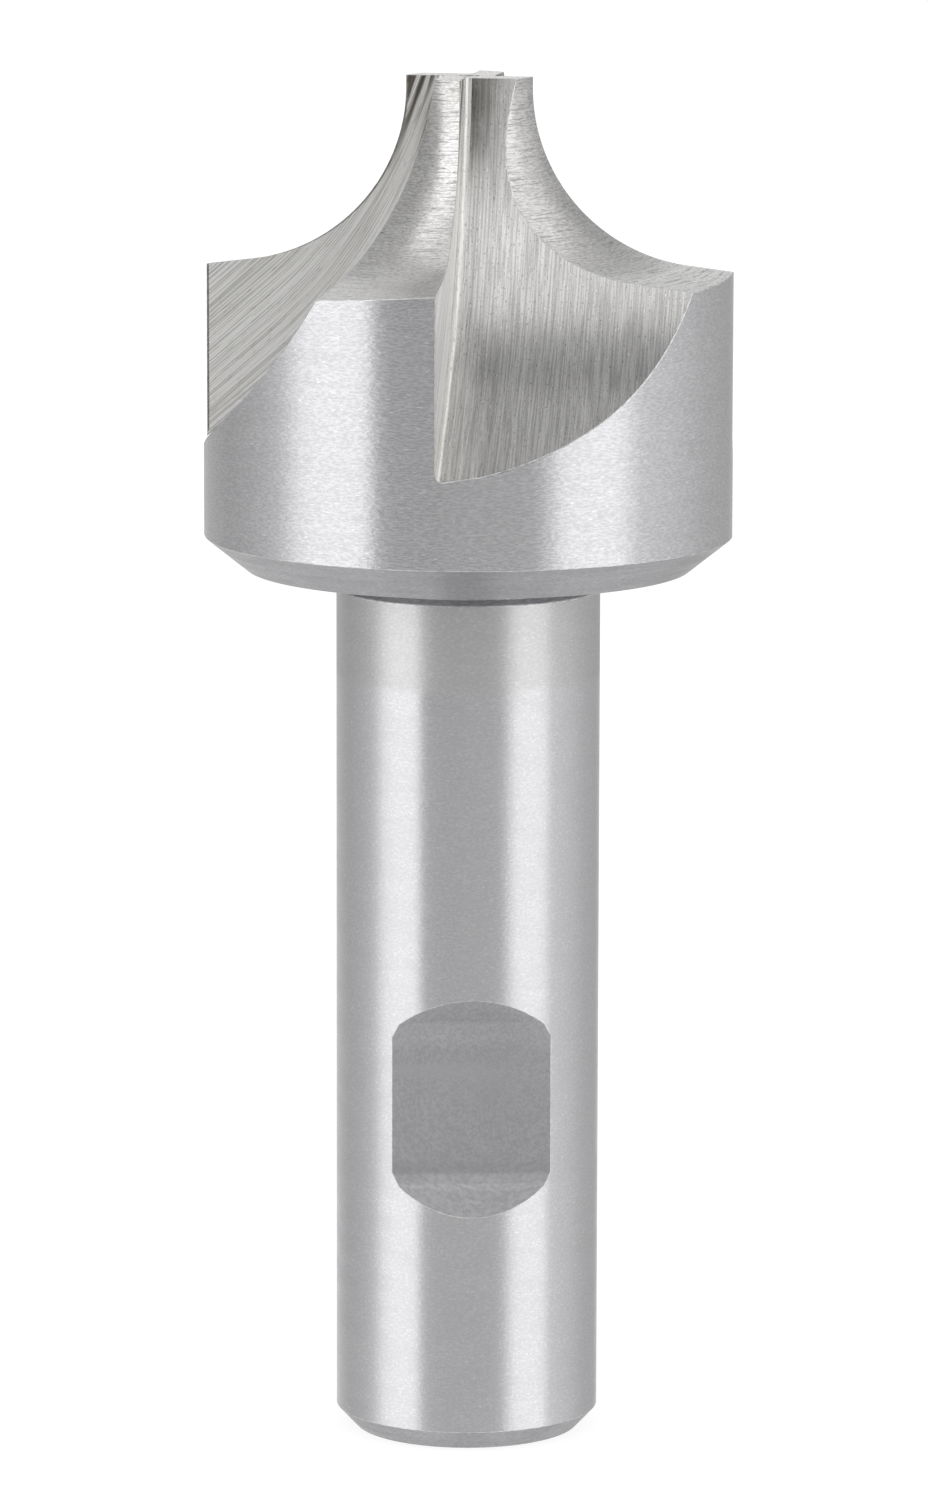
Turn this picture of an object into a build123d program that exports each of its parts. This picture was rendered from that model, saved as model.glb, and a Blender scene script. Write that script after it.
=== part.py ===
from build123d import *
import os
from math import cos, hypot, radians, sin, tan

# Corner rounding end mill: four form-relieved concave teeth on a side-lock shank, in one piece.
# Millimetres, +Z towards the cutting tip, origin at the centre of the shank end.
# The side-lock flat faces -Y and the teeth cut anticlockwise as seen from the tip.

# Shank and its end chamfer
shank_diameter = 19.05
overall_length = 98.8
end_chamfer_height = 1.5
end_chamfer_width = 1.4

# Side-lock flat, its two ramps and the narrow facet between floor and ramp
flat_depth = 1.905
flat_floor_length = 11.05
flat_centre_height = 25.35
flat_ramp_angle = 38.0
flat_facet_setback = 0.55

# Groove that clears the grinding wheel where the shank meets the head
neck_groove_width = 1.5
neck_groove_depth = 0.4
neck_groove_radius = 0.3

# Head, measured down from the tip, and the chamfer at its lower edge
head_diameter = 38.1
head_length = 35.4
head_chamfer_width = 3.0
head_chamfer_height = 2.4

# Cutting edge in the rake plane: short neck, concave quarter arc, sloping shoulder
corner_radius = 12.7
tip_diameter = 9.26
neck_length = 0.75
shoulder_angle = 7.2

# Teeth: the first rake face is turned from -Y about the tool axis and lies just behind that axis
tooth_count = 4
rake_turn = -8.95
rake_offset = 0.15

# Relief: the flanks turn about an axis that stands off ahead of the edge at the tip and leans.
# Each flank cutter stays clear of the rake faces in front and behind by the margin in degrees.
relief_standoff = 1.05
relief_lean = 3.2
relief_margin = 5.0

# Straight flutes: depth line in the rake plane, measured from the axis and down from the tip
web_half_width = 1.75
flute_length = 26.82
flute_runout_angle = 49.2
flute_runout_length = 5.3
flute_back_angle = 5.0
flute_root_radius = 0.5

# Centre holes in both ends
centre_angle = 60.0
shank_centre_diameter = 4.5
shank_centre_drill = 1.8
shank_centre_depth = 5.5
tip_centre_diameter = 1.5
tip_centre_drill = 0.7
tip_centre_depth = 1.9

# How far the cutters pass beyond the metal
clearance = 2.0

# Sizes that follow from the ones above
shank_radius = shank_diameter / 2
head_radius = head_diameter / 2
tip_radius = tip_diameter / 2
head_underside = overall_length - head_length
groove_radius = shank_radius - neck_groove_depth
arc_radius_centre = tip_radius + corner_radius
arc_height_centre = overall_length - neck_length
tooth_pitch = 360 / tooth_count
first_edge = rake_turn - 90
lean = radians(relief_lean)
sweep_radius = head_radius + relief_standoff + head_length * tan(lean) + clearance
sweep_top = overall_length + clearance + sweep_radius * sin(lean)


def edge_arc(turn):
    # Point of the concave cutting edge, turned down from the neck by an angle in degrees
    radius = arc_radius_centre - corner_radius * cos(radians(turn))
    height = arc_height_centre - corner_radius * sin(radians(turn))
    return (radius, height)


def from_relief_axis(radius, height):
    # The same point of the rake plane as its distance from the relief axis and its place along it
    rise = height - overall_length
    across = relief_standoff * cos(lean) - rise * sin(lean)
    along = relief_standoff * sin(lean) + rise * cos(lean)
    return (hypot(radius, across), along)


# Flank cutter: all that lies outside the cutting edge, turned about the relief axis.
# The axis stands off towards the flute in front and leans, so the land falls away behind the edge
# both inwards and downwards while its concave shape stays the same when the rake face is reground.
shoulder_turn = 90 - shoulder_angle
shoulder_start = edge_arc(shoulder_turn)
shoulder_drop = (sweep_radius - shoulder_start[0]) * tan(radians(shoulder_angle))
relief_origin = Vector(0, relief_standoff, overall_length)
relief_direction = Vector(0, -sin(lean), cos(lean))
relief_start = Vector(1, 0, 0).rotate(Axis((0, 0, 0), relief_direction), relief_margin)
relief_plane = Plane(
    origin=relief_origin,
    x_dir=relief_start,
    z_dir=relief_start.cross(relief_direction),
)

with BuildPart() as flank_cutter:
    with BuildSketch(relief_plane):
        with BuildLine():
            concave = ThreePointArc(
                from_relief_axis(*edge_arc(0)),
                from_relief_axis(*edge_arc(shoulder_turn / 2)),
                from_relief_axis(*shoulder_start),
            )
            Polyline(
                concave @ 1,
                from_relief_axis(sweep_radius, shoulder_start[1] - shoulder_drop),
                from_relief_axis(sweep_radius, sweep_top),
                from_relief_axis(tip_radius, sweep_top),
                concave @ 0,
            )
        make_face()
    revolve(
        axis=Axis(relief_origin, relief_direction * -1),
        revolution_arc=tooth_pitch - relief_margin,
    )

# Flute cutter: straight run-out, long floor arc up to the web at the tip, and the rake face as its
# starting side. The floor is carried across to the back of the next tooth, which lies at the back
# angle to that tooth's own rake face.
runout = radians(flute_runout_angle)
flute_opening = radians(tooth_pitch - flute_back_angle)
runout_outer = (
    head_radius + clearance,
    overall_length - flute_length - clearance / tan(runout),
)
runout_inner = (
    head_radius - flute_runout_length * sin(runout),
    overall_length - flute_length + flute_runout_length * cos(runout),
)

with BuildPart() as flute_cutter:
    with BuildSketch(Plane.XZ.offset(rake_offset)):
        with BuildLine():
            runout_line = Line(runout_outer, runout_inner)
            floor_arc = TangentArc(
                runout_inner,
                (web_half_width, overall_length),
                tangent=runout_line % 1,
            )
            Polyline(
                floor_arc @ 1,
                (head_radius + clearance, overall_length),
                runout_outer,
            )
        make_face()
    extrude(
        amount=(head_radius + clearance) / sin(flute_opening),
        dir=(cos(flute_opening), sin(flute_opening), 0),
    )
    rake_side = flute_cutter.faces().sort_by(Axis.Y)[0]
    root_edges = rake_side.edges().sort_by(Axis.Z)[:-1].sort_by(Axis.X)[:-1]
    fillet(root_edges, radius=flute_root_radius)

with BuildPart() as end_mill:
    # Turned blank, its profile drawn towards -Y so that the seam of the turned faces runs into the flat
    with BuildSketch(Plane.XZ.rotated((0, 0, -90))) as blank_profile:
        with BuildLine():
            Polyline(
                (0, 0),
                (shank_radius - end_chamfer_width, 0),
                (shank_radius, end_chamfer_height),
                (shank_radius, head_underside - neck_groove_width),
                (groove_radius, head_underside - neck_groove_width + neck_groove_depth),
                (groove_radius, head_underside),
                (head_radius - head_chamfer_width, head_underside),
                (head_radius, head_underside + head_chamfer_height),
                (head_radius, overall_length),
                (0, overall_length),
                close=True,
            )
        make_face()
        groove_corner = blank_profile.vertices().sort_by_distance((groove_radius, head_underside))[0]
        fillet(groove_corner, radius=neck_groove_radius)
    revolve(axis=Axis.Z)

    # Teeth: relieved flanks first, then the flutes that open the rake faces
    with PolarLocations(0, tooth_count, start_angle=first_edge):
        add(flank_cutter.part, mode=Mode.SUBTRACT)
    with PolarLocations(0, tooth_count, start_angle=first_edge):
        add(flute_cutter.part, mode=Mode.SUBTRACT)

    # Side-lock flat: milled floor, narrow facets and ramps that run out to the shank surface
    flat_half = flat_floor_length / 2
    flat_floor = flat_depth - shank_radius
    ramp_run = (flat_depth + clearance) / tan(radians(flat_ramp_angle))
    with BuildSketch(Plane.YZ) as flat_profile:
        with BuildLine():
            Polyline(
                (flat_floor, flat_centre_height - flat_half),
                (flat_floor, flat_centre_height + flat_half),
                (-shank_radius - clearance, flat_centre_height + flat_half + ramp_run),
                (-shank_radius - clearance, flat_centre_height - flat_half - ramp_run),
                close=True,
            )
        make_face()
        chamfer(flat_profile.vertices().group_by(Axis.X)[-1], length=flat_facet_setback)
    extrude(amount=shank_radius + clearance, both=True, mode=Mode.SUBTRACT)

    # Centre holes
    with Locations(Location((0, 0, 0), (180, 0, 0))):
        CounterSinkHole(
            radius=shank_centre_drill / 2,
            counter_sink_radius=shank_centre_diameter / 2,
            depth=shank_centre_depth,
            counter_sink_angle=centre_angle,
        )
    with Locations((0, 0, overall_length)):
        CounterSinkHole(
            radius=tip_centre_drill / 2,
            counter_sink_radius=tip_centre_diameter / 2,
            depth=tip_centre_depth,
            counter_sink_angle=centre_angle,
        )

end_mill.part.label = "end_mill"

os.makedirs("parts", exist_ok=True)
export_step(end_mill.part, "parts/end_mill.step")
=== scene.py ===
from math import acos, cos, hypot, pi, radians, sin, sqrt, tan
from typing import NamedTuple

import bmesh
import bpy
import numpy as np
from bpy.props import FloatProperty, FloatVectorProperty, PointerProperty
from bpy.types import Node, NodeSocket, Operator, Panel, PropertyGroup
from mathutils import Matrix, Vector, kdtree, noise


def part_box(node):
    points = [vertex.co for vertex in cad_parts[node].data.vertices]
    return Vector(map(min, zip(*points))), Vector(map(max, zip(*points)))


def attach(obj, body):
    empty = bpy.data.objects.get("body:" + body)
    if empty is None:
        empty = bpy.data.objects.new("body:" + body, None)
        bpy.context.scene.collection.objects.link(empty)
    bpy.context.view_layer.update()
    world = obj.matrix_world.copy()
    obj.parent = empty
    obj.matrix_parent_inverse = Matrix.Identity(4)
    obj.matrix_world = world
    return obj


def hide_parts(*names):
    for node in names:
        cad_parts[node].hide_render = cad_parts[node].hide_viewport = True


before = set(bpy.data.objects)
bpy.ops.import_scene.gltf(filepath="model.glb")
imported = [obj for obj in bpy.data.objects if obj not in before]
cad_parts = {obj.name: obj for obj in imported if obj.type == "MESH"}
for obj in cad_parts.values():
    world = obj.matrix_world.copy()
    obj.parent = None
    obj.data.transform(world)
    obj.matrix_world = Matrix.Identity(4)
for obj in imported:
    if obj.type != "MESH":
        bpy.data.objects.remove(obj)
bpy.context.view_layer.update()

bl_info = {
    "name": "Corner rounding end mill",
    "version": (1, 0, 0),
    "blender": (4, 5, 0),
    "location": "View3D > Sidebar > End mill",
    "description": "Builds a ground corner rounding end mill with its camera, floor and studio light",
    "category": "Add Mesh",
}

MM = 0.001
CAD_LOW, CAD_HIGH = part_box("end_mill")


# Sizes, colours and light that a user may change


def to_linear(code):
    """An sRGB hex colour such as "#9FA0A2" as linear red, green and blue."""
    values = [int(code[i : i + 2], 16) / 255 for i in (1, 3, 5)]
    return [v / 12.92 if v <= 0.04045 else ((v + 0.055) / 1.055) ** 2.4 for v in values]


def length(label, about, millimetres):
    return FloatProperty(name=label, description=about, default=millimetres * MM, unit="LENGTH")


def angle(label, about, degrees):
    return FloatProperty(name=label, description=about, default=radians(degrees), subtype="ANGLE")


def number(label, about, value):
    return FloatProperty(name=label, description=about, default=value)


def colour(label, about, code):
    looks = {"subtype": "COLOR", "min": 0, "max": 1, "default": to_linear(code)}
    return FloatVectorProperty(name=label, description=about, **looks)


class MillSizes(PropertyGroup):
    """Sizes of the end mill"""

    tip_height: length("Length", "From the shank end to the tip", (CAD_HIGH[2] - CAD_LOW[2]) / MM)
    head_radius: length("Head radius", "Radius of the ground head", (CAD_HIGH[0] - CAD_LOW[0]) / MM / 2)
    shank_radius: length("Shank radius", "Radius of the ground shank", 9.525)
    end_chamfer_height: length("End chamfer height", "Height of the chamfer at the shank end", 1.5)
    end_chamfer_width: length("End chamfer width", "Width of the chamfer at the shank end", 1.4)
    groove_depth: length("Groove depth", "Depth of the wheel relief groove under the head", 0.4)
    groove_width: length("Groove width", "Height of the wheel relief groove under the head", 1.5)
    groove_round: length("Groove round", "Radius of the groove's corner under the head", 0.3)
    underside: length("Underside height", "Height of the head's underside", 63.4)
    head_chamfer_width: length("Head chamfer width", "Width of the head's lower chamfer", 3.0)
    head_chamfer_height: length("Head chamfer height", "Height of the head's lower chamfer", 2.4)
    tip_radius: length("Tip radius", "Radius of the cutting edge at the tip", 4.63)
    neck: length("Neck", "Straight length of the cutting edge below the tip", 0.75)
    corner_radius: length("Corner radius", "Radius of the concave cutting edge", 12.7)
    shoulder: angle("Shoulder slope", "Fall of the cutting edge outside the arc", 7.2)
    relief_standoff: length("Relief stand-off", "How far the relief axis stands ahead of the edge", 1.05)
    relief_lean: angle("Relief lean", "Lean of the relief axis", 3.2)
    first_edge: angle("First edge", "Turn of the first rake face from the X axis", -98.95)
    rake_offset: length("Rake offset", "How far the rake face lies behind the axis", 0.15)
    web: length("Web", "Half of the web between the flutes at the tip", 1.75)
    flute_length: length("Flute length", "From the tip to the flute's end on the head", 26.82)
    runout: angle("Run-out angle", "Angle of the flute's straight end to the axis", 49.2)
    runout_length: length("Run-out length", "Length of the flute's straight end", 5.3)
    back_angle: angle("Back angle", "Angle between the rake face and the flute's back", 85.0)
    root_radius: length("Root radius", "Radius in the flute's root", 0.5)
    flat_depth: length("Flat depth", "Depth of the side-lock flat", 1.905)
    flat_length: length("Flat length", "Length of the side-lock flat's floor", 11.05)
    flat_height: length("Flat height", "Height of the side-lock flat's middle", 25.35)
    flat_ramp: angle("Ramp angle", "Slope of the flat's two ends", 38.0)
    flat_facet: length("Facet", "Setback of the facet between floor and ramp", 0.55)
    tip_hole: length("Tip hole", "Radius of the centre hole's cone at the tip", 0.75)
    tip_drill: length("Tip drill", "Radius of the drilled end of the tip's centre hole", 0.35)
    tip_depth: length("Tip hole depth", "Depth of the tip's centre hole", 1.9)
    end_hole: length("End hole", "Radius of the centre hole's cone at the shank end", 2.25)
    end_drill: length("End drill", "Radius of the drilled end of the shank's centre hole", 0.9)
    end_depth: length("End hole depth", "Depth of the shank's centre hole", 5.5)
    hole_cone: angle("Hole cone", "Angle of the cones of both centre holes", 60.0)
    hone: length("Hone", "Width of the honed strip along the cutting edge", 0.17)
    edge_break: length("Edge break", "Width of the widest broken edges, along the heels of the teeth", 0.16)


# The tool's form, in millimetres


# Number of teeth, and the turn from each to the next
TEETH, PITCH = 4, pi / 2
# How often solve() halves its range: more would change nothing
HALVINGS = 48
# Where solve() looks for a place: turns in radians, lengths in millimetres
RAKE_TURNS = (-1.0, 1.0)
WIDEST_TOOTH = 1.7
NECK_LENGTHS = (-2.0, 0.5)
SHOULDER_REACH = 6.0
ROOT_DROP = 2.0
FOOT_LOW, FOOT_HIGH = 0.6, 3.0


def lerp(a, b, f):
    return a + (b - a) * f


def steps(count, low=0, high=1):
    """Places at even steps from low to high, with both ends."""
    return np.linspace(low, high, count + 1)


def joined(x, y, z):
    """Points or directions from their coordinates, each of which may be one for all."""
    return np.stack(np.broadcast_arrays(x, y, z), -1)


def unit(v):
    return v / np.linalg.norm(v, axis=-1, keepdims=True)


def solve(f, low, high):
    """The place between low and high where f changes its sign."""
    positive = f(low) > 0
    for _ in range(HALVINGS):
        middle = (low + high) / 2
        if (f(middle) > 0) == positive:
            low = middle
        else:
            high = middle
    return (low + high) / 2


class Form:
    """Curves of one tooth and its flute. X runs out along the rake face, Y ahead of it and Z up."""

    def __init__(self, sizes):
        for name in MillSizes.__annotations__:
            prop = MillSizes.bl_rna.properties[name]
            value = getattr(sizes, name)
            setattr(self, name, value if prop.unit == "ROTATION" else round(value / MM, 4))
        self.arc_centre = (self.tip_radius + self.corner_radius, self.tip_height - self.neck)
        self.arc_end = pi / 2 - self.shoulder
        self.arc_length = self.corner_radius * self.arc_end
        self.flute_end = self.tip_height - self.flute_length
        rise, inset = self.runout_length * cos(self.runout), self.runout_length * sin(self.runout)
        self.floor_start = np.array([self.head_radius - inset, self.flute_end + rise])
        chord = np.array([self.web, self.tip_height]) - self.floor_start
        side = np.array([cos(self.runout), sin(self.runout)])
        self.floor_radius = chord @ chord / (2 * chord @ side)
        self.floor_centre = self.floor_start + side * self.floor_radius
        self.rule = np.array([cos(self.back_angle), sin(self.back_angle), 0.0])

    def edge(self, s):
        """Cutting edge as (radius, height) at a length s from the lower end of its neck."""
        if s < 0:
            return self.tip_radius, self.arc_centre[1] - s
        turn = min(s, self.arc_length) / self.corner_radius
        rest = max(s - self.arc_length, 0)
        return (
            self.arc_centre[0] - self.corner_radius * cos(turn) + rest * cos(self.shoulder),
            self.arc_centre[1] - self.corner_radius * sin(turn) - rest * sin(self.shoulder),
        )

    def flank(self, s, turn):
        """Form-relieved flank: the cutting edge turned about the leaning relief axis."""
        radius, height = self.edge(s)
        rise = height - self.tip_height
        lean = self.relief_lean
        across = self.relief_standoff * cos(lean) - rise * sin(lean)
        along = self.relief_standoff * sin(lean) + rise * cos(lean)
        reach = hypot(radius, across)
        x, y = reach * cos(turn), reach * sin(turn)
        ahead = self.relief_standoff - along * sin(lean) + y * cos(lean)
        return np.array([x, ahead, self.tip_height + along * cos(lean) + y * sin(lean)])

    def depth(self, z):
        """Distance of the flute's floor line from the axis, and how it changes with height."""
        if z < self.floor_start[1]:
            slope = -tan(self.runout)
            return self.floor_start[0] + (z - self.floor_start[1]) * slope, slope
        drop = sqrt(self.floor_radius**2 - (z - self.floor_centre[1]) ** 2)
        return self.floor_centre[0] - drop, (z - self.floor_centre[1]) / drop

    def floor_course(self, x):
        """The flute's floor line at a distance from the axis: length along it, height and fall."""
        if x > self.floor_start[0]:
            out = x - self.floor_start[0]
            fall = pi / 2 - self.runout
            run = self.floor_radius * fall + out / cos(fall)
            return run, self.floor_start[1] - out * tan(fall), fall
        fall = pi / 2 - acos(min((self.floor_centre[0] - x) / self.floor_radius, 1))
        return self.floor_radius * fall, self.floor_centre[1] - self.floor_radius * cos(fall), fall

    def root(self, z, f):
        """Rounded root of the flute, from the back face at f = 0 to the rake face at f = 1."""
        floor, slope = self.depth(z)
        normal = unit(np.cross(np.array([slope, 0, 1.0]), self.rule)) * -1
        reach = self.root_radius * (1 - normal[1]) / sin(self.back_angle)
        contact = np.array([floor, -self.rake_offset, z]) + self.rule * reach
        start, end = -normal, np.array([0, -1.0, 0])
        sweep = acos(start @ end)
        way = (start * sin((1 - f) * sweep) + end * sin(f * sweep)) / sin(sweep)
        return contact + self.root_radius * (normal + way)

    def root_top(self, f):
        """Where a line of the rounded root reaches the tip."""
        start = self.tip_height - ROOT_DROP
        return solve(lambda z: self.root(z, f)[2] - self.tip_height, start, self.tip_height)

    def root_foot(self, f):
        """Where a line of the rounded root runs out on the head's side."""
        low, high = self.flute_end - FOOT_LOW, self.flute_end + FOOT_HIGH
        return solve(lambda z: hypot(*self.root(z, f)[:2]) - self.head_radius, low, high)

    def back_end(self, z):
        """Where the back face leaves the head at height z."""
        foot = np.array([self.depth(z)[0], -self.rake_offset, z])
        b = foot @ self.rule
        c = foot[0] ** 2 + foot[1] ** 2 - self.head_radius**2
        return foot + self.rule * (sqrt(b * b - c) - b)

    def behind_back(self, p):
        """How far a point of the next tooth, given in its own axes, lies from this flute's back."""
        x, y = -p[1], p[0]
        return x - self.depth(p[2])[0] - (y + self.rake_offset) / tan(self.back_angle)

    def rake_turn(self, s):
        return solve(lambda t: self.flank(s, t)[1] + self.rake_offset, *RAKE_TURNS)

    def heel_turn(self, s):
        start = self.rake_turn(s)
        return solve(lambda t: self.behind_back(self.flank(s, t)), start, start - WIDEST_TOOTH)

    def at_tip(self, turn_of):
        return solve(lambda s: self.flank(s, turn_of(s))[2] - self.tip_height, *NECK_LENGTHS)

    def at_head(self, turn_of):
        def beyond_head(s):
            return hypot(*self.flank(s, turn_of(s))[:2]) - self.head_radius

        return solve(beyond_head, self.arc_length, self.arc_length + SHOULDER_REACH)


# The mesh


# Rows and columns of faces in the patches
FLANK_ROWS, FLANK_COLUMNS, EXIT_ROWS = 72, 24, 28
BACK_COLUMNS, ROOT_COLUMNS, RAKE_COLUMNS, SKIRT_ROWS = 26, 8, 13, 8
HOLE_COLUMNS, CHAMFER_ROWS, FILLET_ROWS = 48, 4, 6
RAMP_COLUMNS, FACET_COLUMNS, ROUND_COLUMNS = 32, 4, 96
LOW_SHANK_ROWS, HIGH_SHANK_ROWS, FLAT_ROWS, RAMP_ROWS, FACET_ROWS = 16, 24, 10, 6, 4

# Points nearer than this are one point, and a ring as small as the second length closes on the axis
WELD, AXIS = 0.004, 0.001
# Small step along the cutting edge, to find the direction across the flank's marks
NUDGE = 0.001
# Each tooth's marks start this far from those of the last one, so that no two teeth look alike
LAY_STEP = 40.0
# About how far the flute's rounded root turns, in radians
ROOT_SWEEP = 1.7
# Most of the rake face's width that the honed strip may take where the face runs out
HONE_SHARE = 0.5
# Each tooth's part of the tip's outline is taken to start this far clockwise of its edge, in radians
TIP_MARGIN = 0.2
# Middle of the milling cutter's rings, across the flat and up from its middle, and the scale along them
RING_ACROSS, RING_UP, RING_SCALE = 1.5, 2.0, 6.0

# Finishes, in the order of the material slots
FINISHES = (
    "head", "shank", "flank", "flute", "rake", "root", "tip", "turned", "groove", "flat", "hone", "edge",
)
UPWARDS = np.array([0, 0, 1.0])


class Patch(NamedTuple):
    """A grid of points with their marks.

    lay is each point's place on the marks of its surface, in millimetres along and across them, and across is
    the direction across them.
    """

    grid: np.ndarray
    lay: np.ndarray
    across: np.ndarray


class Shell:
    """Collects patches and their finishes."""

    def __init__(self):
        self.points, self.lay, self.across, self.faces, self.finish = [], [], [], [], []

    def hold(self, points, lay, across):
        first = sum(len(p) for p in self.points)
        for store, values in ((self.points, points), (self.lay, lay), (self.across, across)):
            store.append(np.broadcast_to(values, points.shape).reshape(-1, 3))
        return first

    def patch(self, finish, grid, lay, across):
        rows, columns = grid.shape[:2]
        first = self.hold(grid, lay, across)
        i, j = np.meshgrid(np.arange(rows - 1), np.arange(columns - 1), indexing="ij")
        a = (first + i * columns + j).ravel()
        self.faces += np.stack([a, a + 1, a + columns + 1, a + columns], 1).tolist()
        self.finish += [finish] * len(a)

    def ring(self, finish, outer, inner, outer_turn, inner_turn, marks):
        """Fills the space between two closed loops, by their rising turns."""
        points = np.vstack([outer, inner])
        first = self.hold(points, *marks(points))
        m, n = len(outer), len(inner)
        i = j = 0
        while i < m or j < n:
            next_outer = outer_turn[(i + 1) % m] + 2 * pi * (i + 1 >= m)
            next_inner = inner_turn[(j + 1) % n] + 2 * pi * (j + 1 >= n)
            if j >= n or (i < m and next_outer <= next_inner):
                self.faces.append([first + i, first + (i + 1) % m, first + m + j % n])
                i += 1
            else:
                self.faces.append([first + i % m, first + m + (j + 1) % n, first + m + j])
                j += 1
            self.finish.append(finish)

    def build(self, name):
        """Joins the patches into one mesh, in metres, with the marks in its corners."""
        points = np.vstack(self.points)
        tree = kdtree.KDTree(len(points))
        for i, p in enumerate(points):
            tree.insert(p, i)
        tree.balance()
        home = list(range(len(points)))
        for i, p in enumerate(points):
            if home[i] == i:
                for _, j, _ in tree.find_range(p, WELD):
                    if j > i:
                        home[j] = i
        kept = sorted(set(home))
        index = {k: n for n, k in enumerate(kept)}
        faces, corners, finish = [], [], []
        for face, kind in zip(self.faces, self.finish):
            loop = [c for n, c in enumerate(face) if home[c] != home[face[n - 1]]]
            if len(set(home[c] for c in loop)) > 2:
                faces.append([index[home[c]] for c in loop])
                corners += loop
                finish.append(FINISHES.index(kind))
        mesh = bpy.data.meshes.new(name)
        mesh.from_pydata((points[kept] * MM).tolist(), [], faces)
        mesh.polygons.foreach_set("material_index", finish)
        for key, store in (("lay", self.lay), ("across", self.across)):
            values = np.vstack(store)[corners].astype(np.float32)
            mesh.attributes.new(key, "FLOAT_VECTOR", "CORNER").data.foreach_set("vector", values.ravel())
        return mesh


def running_length(line):
    """Length along a line of points, from the first."""
    return np.concatenate([[0], np.cumsum(np.linalg.norm(np.diff(line, axis=0), axis=1))])


def closed(turns):
    """The turns, with the first again after a whole turn."""
    return np.append(turns, turns[0] + 2 * pi)


def circle(radius, turns, height):
    """Points round the axis. radius and height may be columns, for a row of points at each."""
    return joined(radius * np.cos(turns), radius * np.sin(turns), height)


def spin(points, turn):
    """Points or directions turned about the tool's axis."""
    c, s = cos(turn), sin(turn)
    return points @ np.array([[c, s, 0], [-s, c, 0], [0, 0, 1.0]])


def turned(shell, finish, radii, heights, turns, about):
    """A surface of revolution through radii and heights, with its marks scaled to the radius about."""
    line = np.column_stack([radii, heights]).astype(float)
    slope = unit(np.gradient(line, axis=0))
    run = running_length(line)[:, None] + line[0, 1]
    lay = circle(about, turns, run)[..., (0, 2, 1)]
    grid = circle(line[:, :1], turns, line[:, 1:])
    shell.patch(finish, grid, lay, circle(slope[:, :1], turns, slope[:, 1:]))


def centre_hole(shell, turns, mouth, drill, cone, height, depth):
    """A centre hole with its cone, wall and bottom. Its depth is negative where it goes down from the tip."""
    seat = height + np.sign(depth) * (mouth - drill) / tan(cone / 2)
    bottom = height + depth
    turned(shell, "turned", [mouth, drill], [height, seat], turns, mouth)
    turned(shell, "turned", [drill, drill], [seat, bottom], turns, mouth)
    turned(shell, "turned", [drill, AXIS], [bottom, bottom], turns, mouth)


def straight_marks(points):
    """Lay and direction of straight marks along Y, on a level face."""
    return points[:, (1, 0, 2)], np.array([1.0, 0, 0])


def ring_marks(points):
    """Lay and direction of the rings of a face turned flat, where only the distance from the axis matters."""
    run = np.hypot(points[:, 0], points[:, 1])
    turn = np.arctan2(points[:, 1], points[:, 0])
    return joined(points[:, 0], run, points[:, 1]), circle(1.0, turn, 0)


def flank_patch(form):
    """Relieved flank between the cutting edge, the heel, the tip and the head's side."""
    rows = steps(FLANK_ROWS)
    columns = steps(FLANK_COLUMNS)
    tip, head = form.at_tip, form.at_head

    def side(turn_of):
        return np.array([(s, turn_of(s)) for s in lerp(tip(turn_of), head(turn_of), rows)])

    left, right = side(form.rake_turn), side(form.heel_turn)
    top = np.array([(tip(lambda s: t), t) for t in lerp(left[0, 1], right[0, 1], columns)])
    low = np.array([(head(lambda s: t), t) for t in lerp(left[-1, 1], right[-1, 1], columns)])
    u, v = rows[:, None, None], columns[None, :, None]
    place = (1 - v) * left[:, None] + v * right[:, None] + (1 - u) * top[None] + u * low[None]
    place -= (1 - u) * ((1 - v) * left[0] + v * right[0]) + u * ((1 - v) * left[-1] + v * right[-1])

    def surface(shift):
        return np.array([[form.flank(s + shift, turn) for s, turn in row] for row in place])

    flank = surface(0)
    reach = np.hypot(flank[..., 0], flank[..., 1])
    lay = joined(place[..., 1] * reach, place[..., 0], 0)
    return Patch(flank, lay, unit(surface(NUDGE) - surface(-NUDGE)))


def back_patch(form, heel, levels):
    """Back face of the flute, in level lines from the root to the next tooth's heel or the head's side."""
    inner = np.array([form.root(z, 0) for z in levels])
    outer = np.vstack([heel, [form.back_end(z) for z in levels[len(heel) :]]])
    # At the flute's end both lines meet
    outer[-1] = inner[-1]
    back = lerp(inner[:, None], outer[:, None], steps(BACK_COLUMNS)[None, :, None])
    from_root = np.linalg.norm(back - inner[:, None], axis=-1)
    return Patch(back, joined(running_length(inner)[:, None], from_root, 0), form.rule)


def root_patch(form, inner, levels):
    """Rounded root of the flute, from its line on the back face to the rake face."""
    share = (levels - levels[-1]) / (levels[0] - levels[-1])
    lines = [inner]
    for f in steps(ROOT_COLUMNS)[1:]:
        lines.append(np.array([form.root(z, f) for z in lerp(form.root_foot(f), form.root_top(f), share)]))
    root = np.array(lines).transpose(1, 0, 2)
    arc = steps(ROOT_COLUMNS, 0, -ROOT_SWEEP * form.root_radius)
    lay = joined(running_length(inner)[:, None], arc, 0)
    return Patch(root, lay, unit(np.gradient(root, axis=1)))


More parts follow.
